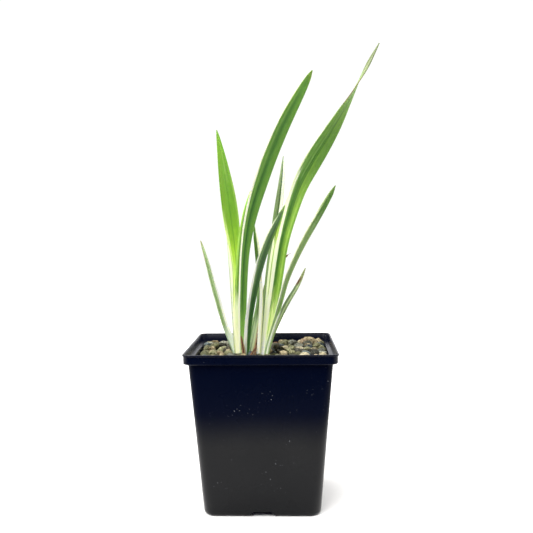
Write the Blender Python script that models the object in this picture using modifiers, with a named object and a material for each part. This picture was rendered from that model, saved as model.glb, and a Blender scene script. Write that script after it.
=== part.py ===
"""A variegated iris in a square nursery pot, dressed with stone grit.

Metres, +Z up. The origin is the middle of the pot's underside, on the surface that it
stands on, and -Y is the side that the leaf fans face.
"""

import math
import random

import bmesh
import bpy
from mathutils import Euler, Matrix, Vector, geometry

MM = 0.001
GAP = 0.3 * MM

# The pot: a tapered square body with a wider band round its mouth and a thin lip on top.
POT_WIDTH = 90 * MM
POT_HEIGHT = 97 * MM
BASE_WIDTH = 69 * MM
BODY_WIDTH = 82.4 * MM
BAND_WIDTH = 88 * MM
BAND_HEIGHT = 6 * MM
LIP_HEIGHT = 1 * MM
WALL = 1.2 * MM
RIM_CORNER = 7.5 * MM
BODY_CORNER = 6 * MM
CORNER_STEPS = 5
FLOOR_UNDERSIDE = 2.8 * MM
FLOOR_TOP = 4 * MM
NOTCH_WIDTH = 15 * MM
NOTCH_HEIGHT = 2.7 * MM
DRAIN_RADIUS = 3.6 * MM
DRAIN_OFFSET = 21 * MM
FOOT_PAD = 16 * MM

# What fills the pot.
MIX_TOP = 81.5 * MM
GRIT_BOTTOM = MIX_TOP + GAP
GRIT_BED_TOP = 87.8 * MM
STONE_PITCH = 6.7 * MM
STONE_RADIUS = (3.2 * MM, 4.0 * MM)
STONE_JITTER = 0.9 * MM
STONE_SEED = 11

# The rhizome lies just under the grit, and its crowns carry the leaves.
RHIZOME_LEVEL = 76 * MM
CROWN_TOP = 80.5 * MM
LEAF_FOOT = CROWN_TOP + GAP

# Leaf blades: lens-shaped across, thick at the midrib and thin at the edges.
MIDRIB_THICKNESS = 1.0 * MM
EDGE_SHARE = 0.62
BROAD_BLADE = 5.5
BLADE_ROWS = 14
CHANNEL = 0.45 * MM

DARK_GREEN = (0.10, 0.26, 0.06)
MID_GREEN = (0.16, 0.36, 0.06)
BRIGHT_GREEN = (0.30, 0.52, 0.05)
GREY_GREEN = (0.22, 0.33, 0.16)
CREAM = (0.80, 0.80, 0.52)
DRY_BROWN = (0.24, 0.11, 0.05)

# Each leaf, in millimetres. Its midrib runs from foot to tip on a four-point curve: foot (x, y),
# rise, bend, tip. The outline gives the blade's width at shares of its length, and the turn gives
# how many degrees the blade has turned about its midrib there, its right edge going back.
LEAVES = {
    "left_fan_tall_leaf": dict(
        colour=MID_GREEN,
        foot=(-13.3, 0.6),
        rise=(-11.5, -0.3, 152.6),
        bend=(-12.1, -5.5, 192.9),
        tip=(31.6, -14.0, 263.1),
        outline=((0, 3.2), (0.2, 4.7), (0.4, 6.1), (0.6, 9.9), (0.7, 9.9), (0.8, 9.1), (0.9, 7.3)),
        turn=((0, 0), (0.3, 12), (0.7, 18), (1, 28)),
    ),
    "left_fan_narrow_leaf": dict(
        colour=MID_GREEN,
        foot=(-14.8, 2.1),
        rise=(-14.8, 2.6, 120.3),
        bend=(-17.2, 5.0, 157.7),
        tip=(-5.0, 9.0, 197.3),
        outline=((0, 2.6), (0.3, 2.8), (0.6, 3.2), (0.85, 2.6)),
        turn=((0, 0), (0.4, 30), (1, 40)),
    ),
    "left_fan_broad_leaf": dict(
        colour=BRIGHT_GREEN,
        foot=(-15.0, 3.6),
        rise=(-17.4, 4.3, 134.3),
        bend=(-16.3, 9.8, 172.5),
        tip=(-28.9, 18.0, 233.4),
        outline=((0, 4.6), (0.28, 4.2), (0.4, 6.0), (0.5, 9.2), (0.6, 11.0), (0.7, 10.4), (0.8, 8.2), (0.9, 4.9)),
        turn=((0, 0), (0.4, 4), (1, 12)),
    ),
    "left_fan_pale_leaf": dict(
        colour=CREAM,
        foot=(-14.8, 5.1),
        rise=(-17.2, 5.6, 108.6),
        bend=(-17.8, 8.6, 136.3),
        tip=(-23.0, 14.0, 164.6),
        outline=((0, 3.4), (0.6, 3.3), (0.85, 2.6)),
        turn=((0, 0), (0.6, 20), (1, 30)),
    ),
    "left_fan_short_leaf": dict(
        colour=GREY_GREEN,
        foot=(-16.0, 6.7),
        rise=(-23.4, 6.4, 107.6),
        bend=(-31.2, 4.0, 134.7),
        tip=(-38.4, 0.0, 161.7),
        outline=((0, 2.6), (0.12, 3.4), (0.3, 4.3), (0.6, 3.9), (0.85, 2.7)),
        turn=((0, 0), (0.3, 16), (1, 32)),
    ),
    "middle_fan_leaning_leaf": dict(
        colour=DARK_GREEN,
        foot=(-10.7, -0.6),
        rise=(-9.8, -1.5, 121.1),
        bend=(-2.8, -7.1, 148.3),
        tip=(14.6, -16.0, 182.7),
        outline=((0, 2.7), (0.2, 3.6), (0.4, 5.0), (0.7, 5.7), (0.85, 5.0), (0.93, 3.8)),
        turn=((0, 0), (0.3, 20), (1, 38)),
    ),
    "middle_fan_upright_leaf": dict(
        colour=DARK_GREEN,
        foot=(-10.4, 2.4),
        rise=(-1.1, 3.0, 114.6),
        bend=(-0.6, 6.4, 138.2),
        tip=(-4.9, 12.0, 171.7),
        outline=((0, 2.8), (0.2, 4.1), (0.5, 3.9), (0.8, 4.1), (0.9, 3.3)),
        turn=((0, 0), (0.25, 12), (0.5, 52), (0.8, 38), (1, 30)),
    ),
    "right_fan_tall_leaf": dict(
        colour=MID_GREEN,
        foot=(-0.1, 1.0),
        rise=(19.7, 2.3, 214.7),
        bend=(25.0, 9.8, 191.1),
        tip=(76.6, 22.0, 288.4),
        outline=(
            (0, 4.2), (0.1, 5.4), (0.2, 7.0), (0.4, 8.0), (0.5, 9.8), (0.6, 12.0), (0.7, 10.9),
            (0.8, 8.4), (0.87, 5.3), (0.94, 2.9),
        ),
        turn=((0, 0), (0.4, 8), (0.6, 15), (0.7, 30), (0.8, 60), (0.87, 90), (0.94, 145), (1, 165)),
    ),
    "right_fan_young_leaf": dict(
        colour=BRIGHT_GREEN,
        foot=(-0.6, 2.5),
        rise=(4.5, 2.9, 118.6),
        bend=(5.1, 6.4, 154.9),
        tip=(18.4, 11.5, 192.1),
        outline=((0, 3.2), (0.3, 3.6), (0.6, 3.9), (0.75, 4.2), (0.9, 2.7)),
        turn=((0, 0), (1, 10)),
    ),
    "right_fan_rear_leaf": dict(
        colour=GREY_GREEN,
        foot=(-1.9, 4.0),
        rise=(0.3, 4.8, 131.7),
        bend=(10.6, 10.0, 173.2),
        tip=(13.9, 18.0, 216.0),
        outline=((0, 2.8), (0.4, 3.2), (0.6, 4.6), (0.7, 5.8), (0.8, 5.0), (0.9, 3.0)),
        turn=((0, 0), (1, 14)),
    ),
    "right_fan_outer_leaf": dict(
        colour=GREY_GREEN,
        foot=(1.4, -0.9),
        rise=(12.2, -2.0, 128.4),
        bend=(18.1, -8.1, 151.2),
        tip=(44.6, -18.0, 194.1),
        outline=((0, 2.4), (0.2, 3.0), (0.5, 4.1), (0.8, 5.0), (0.92, 4.0)),
        turn=((0, 0), (0.4, 25), (1, 35)),
    ),
    "right_fan_short_leaf": dict(
        colour=GREY_GREEN,
        foot=(2.9, -2.3),
        rise=(7.9, -3.4, 104.5),
        bend=(17.7, -7.2, 124.1),
        tip=(26.8, -12.0, 144.5),
        outline=((0, 2.0), (0.3, 2.3), (0.6, 3.2), (0.8, 2.9), (0.92, 2.3)),
        turn=((0, 0), (0.5, 30), (1, 35)),
    ),
    "right_fan_cream_leaf": dict(
        colour=CREAM,
        foot=(-3.0, -0.6),
        rise=(-1.7, -0.7, 100.7),
        bend=(0.2, -1.6, 120.5),
        tip=(-0.6, -3.0, 140.6),
        outline=((0, 2.2), (0.6, 2.3), (0.85, 1.7)),
        turn=((0, 0), (1, 20)),
    ),
    "right_fan_browned_leaf": dict(
        colour=DRY_BROWN,
        foot=(-2.5, 5.4),
        rise=(-0.9, 5.8, 98.0),
        bend=(-0.3, 7.0, 115.2),
        tip=(1.1, 9.0, 132.7),
        outline=((0, 1.8), (0.7, 1.6), (0.9, 1.3)),
        turn=((0, 0), (1, 10)),
    ),
    "dry_sheath_front": dict(
        colour=DRY_BROWN,
        foot=(-12.4, -2.1),
        rise=(-12.6, -2.2, 89.5),
        bend=(-13.6, -2.6, 95.5),
        tip=(-13.9, -2.2, 102.0),
        outline=((0, 2.4), (0.6, 1.9), (0.9, 1.3)),
        turn=((0, 0), (1, 8)),
    ),
    "dry_sheath_rear": dict(
        colour=DRY_BROWN,
        foot=(-9.0, 4.2),
        rise=(-8.0, 4.5, 90.0),
        bend=(-5.6, 5.2, 98.0),
        tip=(-3.4, 6.4, 106.5),
        outline=((0, 2.2), (0.5, 2.6), (0.85, 1.8)),
        turn=((0, 0), (1, 20)),
    ),
}
TIP_WIDTH = 0.6

# The crowns: where each fan of leaves rises from the rhizome, as (x, y, half length, half depth).
CROWNS = (
    (-13.2 * MM, 2.3 * MM, 6.4 * MM, 5.8 * MM),
    (-0.1 * MM, 1.6 * MM, 5.6 * MM, 5.2 * MM),
)
# The openings that the fans stand in: (left, right, front, back) at the bed's underside and at the top.
FAN_HOLES = (
    ((-18.4, -6.9, -3.6, 7.9), (-22.6, -3.6, -4.2, 9.2)),
    ((-4.9, 5.2, -3.7, 6.7), (-4.9, 9.4, -4.6, 8.4)),
)
HOLE_TOP = 97 * MM
HOLE_CORNER = 1.5 * MM


def clear_scene():
    for thing in list(bpy.data.objects):
        bpy.data.objects.remove(thing, do_unlink=True)


def collection(name):
    made = bpy.data.collections.new(name)
    bpy.context.scene.collection.children.link(made)
    return made


def finish(name, colour, roughness):
    """A plain material with the piece's own colour."""
    material = bpy.data.materials.new(name)
    material.use_nodes = True
    shader = material.node_tree.nodes["Principled BSDF"]
    shader.inputs["Base Color"].default_value = (*colour, 1)
    shader.inputs["Roughness"].default_value = roughness
    return material


def object_from(bm, name, home, material=None, smooth_angle=None):
    mesh = bpy.data.meshes.new(name)
    bm.to_mesh(mesh)
    bm.free()
    if smooth_angle is not None:
        mesh.shade_smooth()
        mesh.set_sharp_from_angle(angle=math.radians(smooth_angle))
    made = bpy.data.objects.new(name, mesh)
    home.objects.link(made)
    if material is not None:
        mesh.materials.append(material)
    return made


def as_cutter(made):
    made.hide_render = True
    made.display_type = "WIRE"
    return made


def boolean(target, other, operation="DIFFERENCE"):
    modifier = target.modifiers.new(other.name, "BOOLEAN")
    modifier.object = other
    modifier.operation = operation
    return modifier


def rounded_rectangle(left, right, front, back, corner, height):
    """The points of one level of a moulding, anticlockwise from above."""
    points = []
    centres = (
        (right - corner, back - corner),
        (left + corner, back - corner),
        (left + corner, front + corner),
        (right - corner, front + corner),
    )
    for quarter, (x, y) in enumerate(centres):
        for step in range(CORNER_STEPS + 1):
            angle = math.pi / 2 * (quarter + step / CORNER_STEPS)
            points.append(Vector((x + corner * math.cos(angle), y + corner * math.sin(angle), height)))
    return points


def square(width, corner, height):
    half = width / 2
    return rounded_rectangle(-half, half, -half, half, corner, height)


def loft(levels, name, home, material=None, smooth_angle=None):
    """A closed body through rounded rectangles, stacked from the lowest to the highest."""
    bm = bmesh.new()
    rings = [[bm.verts.new(point) for point in points] for points in levels]
    for lower, upper in zip(rings, rings[1:]):
        for index in range(len(lower)):
            bm.faces.new((lower[index - 1], lower[index], upper[index], upper[index - 1]))
    bm.faces.new(reversed(rings[0]))
    bm.faces.new(rings[-1])
    return object_from(bm, name, home, material, smooth_angle)


def body_width(height):
    """The outside of the pot's tapered body."""
    return BASE_WIDTH + (BODY_WIDTH - BASE_WIDTH) * height / (POT_HEIGHT - BAND_HEIGHT)


def inner_width(height):
    return body_width(height) - 2 * WALL


def make_pot(home, cutters):
    band_foot = POT_HEIGHT - BAND_HEIGHT
    lip_foot = POT_HEIGHT - LIP_HEIGHT
    foot_chamfer = 1.2 * MM
    draft = 0.3 * MM
    outside = [
        square(BASE_WIDTH - 2 * foot_chamfer, BODY_CORNER - foot_chamfer, 0),
        square(body_width(foot_chamfer) - 0.4 * MM, BODY_CORNER, foot_chamfer),
        square(body_width(2 * foot_chamfer), BODY_CORNER, 2 * foot_chamfer),
        square(BODY_WIDTH, BODY_CORNER, band_foot),
        square(BAND_WIDTH, RIM_CORNER, band_foot),
        square(BAND_WIDTH + draft, RIM_CORNER, lip_foot - draft),
        square(POT_WIDTH - draft, RIM_CORNER, lip_foot),
        square(POT_WIDTH, RIM_CORNER, POT_HEIGHT - draft),
        square(POT_WIDTH - 2 * draft, RIM_CORNER, POT_HEIGHT),
    ]
    pot = loft(outside, "pot", home, finish("black_plastic", (0.012, 0.013, 0.016), 0.38), 35)
    ledge = band_foot + WALL
    mouth = BAND_WIDTH - 2 * WALL
    inside = [
        square(inner_width(FLOOR_TOP), BODY_CORNER - WALL, FLOOR_TOP),
        square(inner_width(ledge), BODY_CORNER - WALL, ledge),
        square(mouth, RIM_CORNER - WALL, ledge + draft),
        square(mouth + draft, RIM_CORNER - WALL, POT_HEIGHT + WALL),
    ]
    boolean(pot, as_cutter(loft(inside, "pot_inside", cutters)))

    skirt = 2.0 * MM
    under = BASE_WIDTH - 2 * skirt
    recess = [square(under, BODY_CORNER - skirt, -WALL), square(under, BODY_CORNER - skirt, FLOOR_UNDERSIDE)]
    boolean(pot, as_cutter(loft(recess, "pot_underside", cutters)))

    half = NOTCH_WIDTH / 2
    reach = POT_WIDTH / 2
    corner = 0.2 * MM
    spans = ((-half, half, -reach, reach), (-reach, reach, -half, half))
    for index, (left, right, front, back) in enumerate(spans):
        levels = [rounded_rectangle(left, right, front, back, corner, z) for z in (-WALL, NOTCH_HEIGHT)]
        boolean(pot, as_cutter(loft(levels, f"pot_notch_{index}", cutters)))

    pad = [
        square(FOOT_PAD, BODY_CORNER / 2, 0),
        square(FOOT_PAD, BODY_CORNER / 2, (FLOOR_UNDERSIDE + FLOOR_TOP) / 2),
    ]
    boolean(pot, as_cutter(loft(pad, "pot_foot_pad", cutters)), "UNION")

    for index in range(4):
        turn = math.pi / 2 * index
        x = DRAIN_OFFSET * math.cos(turn)
        y = DRAIN_OFFSET * math.sin(turn)
        bm = bmesh.new()
        middle = (FLOOR_UNDERSIDE + FLOOR_TOP) / 2
        bmesh.ops.create_cone(
            bm, cap_ends=True, segments=16, radius1=DRAIN_RADIUS, radius2=DRAIN_RADIUS,
            depth=4 * WALL, matrix=Matrix.Translation((x, y, middle)),
        )
        boolean(pot, as_cutter(object_from(bm, f"pot_drain_{index}", cutters)))
    return pot


def ellipsoid(bm, centre, radii):
    matrix = Matrix.Translation(centre) @ Matrix.Diagonal((*radii, 1))
    bmesh.ops.create_uvsphere(bm, u_segments=14, v_segments=8, radius=1, matrix=matrix)


def make_rhizome(home, cutters):
    """A creeping rootstock of swollen joints, with a flat-topped crown under each fan."""
    middle = (CROWNS[0][0] + CROWNS[1][0]) / 2
    depth = (CROWNS[0][1] + CROWNS[1][1]) / 2
    bm = bmesh.new()
    ellipsoid(bm, (middle, depth, RHIZOME_LEVEL - 2 * MM), (10 * MM, 4.2 * MM, 4.0 * MM))
    rhizome = object_from(bm, "rhizome", home, finish("rhizome_skin", (0.33, 0.20, 0.10), 0.8), 40)
    for index, (x, y, half_length, half_depth) in enumerate(CROWNS):
        bm = bmesh.new()
        ellipsoid(bm, (x, y, RHIZOME_LEVEL - 1 * MM), (half_length + 0.8 * MM, half_depth + 0.4 * MM, 5 * MM))
        joint = object_from(bm, f"rhizome_joint_{index}", cutters)
        boolean(rhizome, as_cutter(joint), "UNION")
        bm = bmesh.new()
        height = CROWN_TOP - RHIZOME_LEVEL
        scale = Matrix.Diagonal((half_length, half_depth, 1, 1))
        place = Matrix.Translation((x, y, RHIZOME_LEVEL + height / 2)) @ scale
        bmesh.ops.create_cone(
            bm, cap_ends=True, segments=16, radius1=1.05, radius2=0.98, depth=height, matrix=place
        )
        crown = object_from(bm, f"rhizome_crown_{index}", cutters)
        boolean(rhizome, as_cutter(crown), "UNION")
    return rhizome


def make_mix(home, cutters):
    """The potting mix: it fills the pot up to the grit, with an open pocket that the rhizome lies in."""
    levels = []
    for height in (FLOOR_TOP + GAP, MIX_TOP):
        levels.append(square(inner_width(height) - 2 * GAP, BODY_CORNER - WALL - GAP, height))
    mix = loft(levels, "potting_mix", home, finish("dark_mix", (0.035, 0.024, 0.016), 0.95))
    room = 1.0 * MM
    left = min(x - half_length for x, y, half_length, half_depth in CROWNS) - 0.8 * MM - room
    right = max(x + half_length for x, y, half_length, half_depth in CROWNS) + 0.8 * MM + room
    front = min(y - half_depth for x, y, half_length, half_depth in CROWNS) - 0.4 * MM - room
    back = max(y + half_depth for x, y, half_length, half_depth in CROWNS) + 0.4 * MM + room
    floor = RHIZOME_LEVEL - 6 * MM - GAP
    pocket = [
        rounded_rectangle(left, right, front, back, 4 * MM, floor),
        rounded_rectangle(left, right, front, back, 4 * MM, MIX_TOP + WALL),
    ]
    boolean(mix, as_cutter(loft(pocket, "rhizome_pocket", cutters)))
    return mix


def wall_distance(x, y):
    """How far a point inside the pot is from its inner wall, at the top of the grit bed."""
    corner = BODY_CORNER - WALL
    straight = inner_width(GRIT_BED_TOP) / 2 - corner
    dx = max(abs(x) - straight, 0)
    dy = max(abs(y) - straight, 0)
    return corner - math.hypot(dx, dy)


def in_fan_hole(x, y, margin):
    for _, top in FAN_HOLES:
        left, right, front, back = (side * MM for side in top)
        if left - margin < x < right + margin and front - margin < y < back + margin:
            return True
    return False


def grit_level(x, y):
    """How high the middle of a stone lies: the grit is heaped towards the back."""
    heap = 0.9 * MM * (y / (40 * MM)) + 0.5 * MM * (x / (40 * MM))
    return GRIT_BED_TOP + 0.6 * MM + heap


def stone_places():
    """One stone at each crossing of a staggered grid, moved a little at random and kept off the wall."""
    draw = random.Random(STONE_SEED)
    places = []
    half = inner_width(GRIT_BED_TOP) / 2
    rows = math.ceil(2 * half / (STONE_PITCH * math.sin(math.pi / 3)))
    columns = math.ceil(2 * half / STONE_PITCH)
    for row in range(rows + 1):
        for column in range(columns + 1):
            x = -half + STONE_PITCH * (column + 0.5 * (row % 2))
            y = -half + STONE_PITCH * math.sin(math.pi / 3) * row
            x += draw.uniform(-STONE_JITTER, STONE_JITTER)
            y += draw.uniform(-STONE_JITTER, STONE_JITTER)
            radius = draw.uniform(*STONE_RADIUS)
            lift = draw.uniform(-0.7, 1.1) * MM
            turn = Euler([draw.uniform(0, math.tau) for _ in range(3)])
            stretch = Vector([draw.uniform(0.82, 1.1) for _ in range(3)])
            clearance = 1.1 * radius + GAP
            if wall_distance(x, y) < clearance - STONE_PITCH / 2:
                continue
            while wall_distance(x, y) < clearance:
                x *= 0.99
                y *= 0.99
            if in_fan_hole(x, y, 0.2 * radius):
                continue
            places.append((Vector((x, y, grit_level(x, y) + lift)), radius, turn, stretch))
    return places


def make_stone(bm, centre, radius, turn, stretch, draw):
    matrix = Matrix.LocRotScale(centre, turn, stretch * radius)
    made = bmesh.ops.create_icosphere(bm, subdivisions=1, radius=1, matrix=Matrix.Identity(4))
    for vert in made["verts"]:
        vert.co *= draw.uniform(0.84, 1.08)
    bmesh.ops.transform(bm, matrix=matrix, verts=made["verts"])


def make_grit(home, cutters):
    """A bed of grit: stones half sunk in a thin slab, open where the fans rise through it."""
    levels = []
    for height in (GRIT_BOTTOM, GRIT_BED_TOP):
        levels.append(square(inner_width(height) - 2 * GAP, BODY_CORNER - WALL - GAP, height))
    grit = loft(levels, "grit", home, finish("stone_grit", (0.36, 0.34, 0.24), 0.85))
    draw = random.Random(STONE_SEED + 1)
    stones = bpy.data.collections.new("stones")
    bpy.context.scene.collection.children.link(stones)
    for index, place in enumerate(stone_places()):
        bm = bmesh.new()
        make_stone(bm, *place, draw)
        object_from(bm, f"stone_{index}", stones)
    union = grit.modifiers.new("stones", "BOOLEAN")
    union.operand_type = "COLLECTION"
    union.collection = stones
    union.operation = "UNION"
    union.solver = "MANIFOLD"
    apply_modifiers(grit)
    for stone in list(stones.objects):
        bpy.data.objects.remove(stone, do_unlink=True)
    bpy.data.collections.remove(stones)
    for index, (bottom, top) in enumerate(FAN_HOLES):
        levels = []
        for height, sides in ((MIX_TOP - WALL, bottom), (GRIT_BOTTOM, bottom), (HOLE_TOP, top)):
            sides = [side * MM for side in sides]
            levels.append(rounded_rectangle(*sides, HOLE_CORNER, height))
        boolean(grit, as_cutter(loft(levels, f"fan_hole_{index}", cutters))).solver = "MANIFOLD"
    return grit


def apply_modifiers(made):
    bpy.context.view_layer.update()
    graph = bpy.context.evaluated_depsgraph_get()
    mesh = bpy.data.meshes.new_from_object(made.evaluated_get(graph))
    made.modifiers.clear()
    made.data = mesh


def between(pairs, share):
    """Reads a value off a list of (share, value) pairs, easing from one to the next."""
    if share <= pairs[0][0]:
        return pairs[0][1]
    for (start, low), (end, high) in zip(pairs, pairs[1:]):
        if share <= end:
            part = (share - start) / (end - start)
            return low + (high - low) * part * part * (3 - 2 * part)
    return pairs[-1][1]


def straight_between(pairs, share):
    for (start, low), (end, high) in zip(pairs, pairs[1:]):
        if share <= end:
            return low + (high - low) * (share - start) / (end - start)
    return pairs[-1][1]


def midrib(leaf):
    """The leaf's middle line, as points at even steps along its length."""
    foot = Vector((*leaf["foot"], LEAF_FOOT / MM))
    knots = [Vector(foot), Vector(leaf["rise"]), Vector(leaf["bend"]), Vector(leaf["tip"])]
    fine = geometry.interpolate_bezier(*knots, 200)
    lengths = [0]
    for a, b in zip(fine, fine[1:]):
        lengths.append(lengths[-1] + (b - a).length)
    even = []
    for row in range(BLADE_ROWS + 1):
        wanted = lengths[-1] * row_share(row)
        index = max(i for i, length in enumerate(lengths) if length <= wanted + 1e-9)
        index = min(index, len(fine) - 2)
        part = (wanted - lengths[index]) / (lengths[index + 1] - lengths[index])
        even.append(fine[index].lerp(fine[index + 1], part) * MM)
    return even


def row_share(row):
    """Rows lie a little closer together towards the tip, where the outline turns in."""
    part = row / BLADE_ROWS
    return part + 0.09 * math.sin(math.pi * part) * part


def blade_width(leaf, share):
    outline = [*leaf["outline"], (1, TIP_WIDTH)]
    return between(outline[:-1], share) if share <= outline[-2][0] else straight_between(outline, share)


def make_leaf(name, leaf, home):
    """A strip along the midrib, slightly channelled, thickened to a lens across."""
    spine = midrib(leaf)
    broadest = max(width for _, width in leaf["outline"])
    columns = 4 if broadest > BROAD_BLADE else 2
    bm = bmesh.new()
    bmesh.ops.create_grid(bm, x_segments=columns, y_segments=BLADE_ROWS, size=1)
    grade = bm.verts.layers.deform.verify()
    for vert in bm.verts:
        across = vert.co.x
        row = round((vert.co.y + 1) / 2 * BLADE_ROWS)
        share = row_share(row)
        ahead = spine[min(row + 1, BLADE_ROWS)] - spine[max(row - 1, 0)]
        along = Vector((0, 0, 1)) if row == 0 else ahead.normalized()
        facing = Vector((0, -1, 0))
        side = along.cross(facing).normalized()
        side.rotate(Matrix.Rotation(math.radians(between(leaf["turn"], share)), 3, along))
        out = side.cross(along)
        width = blade_width(leaf, share) * MM
        channel = CHANNEL * min(1, width / (6 * MM)) * min(1, share / 0.2)
        vert.co = spine[row] + side * across * width / 2 - out * channel * (1 - across * across)
        vert[grade][0] = 1 - (1 - EDGE_SHARE) * across * across
    bmesh.ops.recalc_face_normals(bm, faces=bm.faces)
    made = object_from(bm, name, home, finish(name + "_surface", leaf["colour"], 0.45), 60)
    made.vertex_groups.new(name="midrib")
    triangulate = made.modifiers.new("triangles", "TRIANGULATE")
    triangulate.quad_method = "FIXED"
    thicken = made.modifiers.new("thickness", "SOLIDIFY")
    thicken.thickness = MIDRIB_THICKNESS
    thicken.offset = 0
    thicken.vertex_group = "midrib"
    return made


def build():
    clear_scene()
    plant = collection("potted_iris")
    cutters = collection("cutters")
    make_pot(plant, cutters)
    make_mix(plant, cutters)
    make_rhizome(plant, cutters)
    make_grit(plant, cutters)
    for name, leaf in LEAVES.items():
        make_leaf(name, leaf, plant)


build()
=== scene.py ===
"""A variegated iris in a square nursery pot dressed with grit, on a pale floor in soft light."""

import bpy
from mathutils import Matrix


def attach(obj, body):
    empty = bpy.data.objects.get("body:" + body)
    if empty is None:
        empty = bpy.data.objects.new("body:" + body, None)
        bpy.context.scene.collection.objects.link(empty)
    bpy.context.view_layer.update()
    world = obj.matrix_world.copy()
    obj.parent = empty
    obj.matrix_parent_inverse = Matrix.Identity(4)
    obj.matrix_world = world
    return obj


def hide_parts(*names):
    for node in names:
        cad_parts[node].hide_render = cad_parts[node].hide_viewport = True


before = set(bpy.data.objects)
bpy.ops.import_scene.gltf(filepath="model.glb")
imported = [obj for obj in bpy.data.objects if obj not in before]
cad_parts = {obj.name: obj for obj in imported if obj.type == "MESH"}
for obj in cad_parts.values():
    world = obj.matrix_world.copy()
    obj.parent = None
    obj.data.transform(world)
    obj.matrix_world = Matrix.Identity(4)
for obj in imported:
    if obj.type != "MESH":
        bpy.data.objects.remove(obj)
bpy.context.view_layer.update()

import math
import random

import bmesh
import bpy
import numpy as np
from mathutils import Euler, Matrix, Vector

# The photographer's view: a short lens a little above the pot's rim, close to the plant and looking
# slightly down. The denoiser goes by colour alone, as its pass for normals stipples thin leaf tips.
bpy.ops.object.camera_add(
    location=(0.0152, -0.4254, 0.1633),
    rotation=(math.radians(87.55), math.radians(0.53), math.radians(1.64)),
)
camera = bpy.context.object
camera.data.sensor_width = 36
camera.data.lens = 45.87
camera.data.clip_start = 0.01
bpy.context.scene.camera = camera
bpy.context.scene.view_settings.view_transform = "Standard"
bpy.context.scene.cycles.denoising_input_passes = "RGB_ALBEDO"

# The table: a matt white round top, lit until it merges with the white room behind it.
bpy.ops.object.select_all(action="DESELECT")
bpy.ops.mesh.primitive_circle_add(vertices=96, radius=0.62, fill_type="NGON", location=(0.02, 0.42, -0.0002))
table_top = bpy.context.object
table_top.name = "table_top"
white_paint = bpy.data.materials.new("white_paint")
white_paint.use_nodes = True
white_paint.node_tree.nodes["Principled BSDF"].inputs["Base Color"].default_value = (0.86, 0.85, 0.83, 1)
white_paint.node_tree.nodes["Principled BSDF"].inputs["Roughness"].default_value = 0.9
table_top.data.materials.append(white_paint)

# The room: white all round but dark on the photographer's side, which is what the front of the pot
# mirrors. A broad soft window stands to the left of the plant, and another is overhead.
room = bpy.data.worlds.new("white_room")
bpy.context.scene.world = room
room.use_nodes = True
air = room.node_tree.nodes
air.clear()


def fill(owner, made, sockets):
    """Sets a node's sockets, or joins them to others, by name or by number as _0 and _1."""
    for name, value in sockets.items():
        socket = made.inputs[int(name[1:])] if name.startswith("_") else made.inputs[name.replace("_", " ")]
        if isinstance(value, bpy.types.NodeSocket):
            owner.node_tree.links.new(value, socket)
        else:
            socket.default_value = value
    return made


def room_node(kind, **sockets):
    """Adds a node to the room's light."""
    return fill(room, air.new("ShaderNode" + kind), sockets)


heading = room_node("SeparateXYZ", _0=air.new("ShaderNodeTexCoord").outputs["Generated"])
towards_front = room_node("MapRange", Value=heading.outputs["Y"], From_Min=-0.2, From_Max=-0.6)
below_ceiling = room_node("MapRange", Value=heading.outputs["Z"], From_Min=0.6, From_Max=0.35)
gloom = room_node("Math", _0=towards_front.outputs[0], _1=below_ceiling.outputs[0])
gloom.operation = "MULTIPLY"
walls = air.new("ShaderNodeMix")
walls.data_type = "RGBA"
room.node_tree.links.new(gloom.outputs[0], walls.inputs[0])
walls.inputs[6].default_value = (1, 1, 1, 1)
walls.inputs[7].default_value = (0.01, 0.018, 0.08, 1)
lit = room_node("Background", Color=walls.outputs[2], Strength=1.5)
seen = room_node("Background", Color=(1, 1, 1, 1), Strength=1.05)
either = room_node("MixShader", _0=air.new("ShaderNodeLightPath").outputs["Is Camera Ray"])
room.node_tree.links.new(lit.outputs[0], either.inputs[1])
room.node_tree.links.new(seen.outputs[0], either.inputs[2])
room_end = air.new("ShaderNodeOutputWorld")
room.node_tree.links.new(either.outputs[0], room_end.inputs["Surface"])

for name, place, aim, size, power in (
    ("front_window", (-0.45, -0.75, 1.0), (0, 0, 0.15), 0.8, 16),
    ("overhead_window", (-0.15, 0.25, 1.1), (0, 0, 0.1), 1.0, 8),
):
    bpy.ops.object.light_add(type="AREA", location=place)
    window = bpy.context.object
    window.name = name
    window.data.shape = "SQUARE"
    window.data.size = size
    window.data.energy = power
    window.rotation_euler = (Vector(aim) - Vector(place)).to_track_quat("-Z", "Y").to_euler()


# The pot: one thin moulding of black polypropylene. Its body tapers so that pots stack, a wider band
# stiffens its mouth, and notches under its sides let water out of the holes in its raised floor.
def start(kind, **how):
    """Adds a primitive and opens it for editing with all of it selected."""
    bpy.ops.object.select_all(action="DESELECT")
    getattr(bpy.ops.mesh, f"primitive_{kind}_add")(**how)
    bpy.ops.object.mode_set(mode="EDIT")


def done(name):
    """Closes the piece being edited, names it, and moves its place into its mesh."""
    bpy.ops.object.mode_set(mode="OBJECT")
    bpy.ops.object.transform_apply(location=True, rotation=True, scale=True)
    made = bpy.context.object
    made.name = name
    made.data.name = name
    return made


def work(piece, kind, **settings):
    """Adds a modifier to a piece and applies it at once."""
    bpy.ops.object.select_all(action="DESELECT")
    piece.select_set(True)
    bpy.context.view_layer.objects.active = piece
    modifier = piece.modifiers.new(kind.lower(), kind)
    for key, value in settings.items():
        setattr(modifier, key, value)
    bpy.ops.object.modifier_apply(modifier=modifier.name)


def stands_for(piece, slot, *nodes):
    """Puts a finished piece on the plant's one body, in place of its solids."""
    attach(piece, "root")
    if nodes:
        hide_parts(*nodes)


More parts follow.
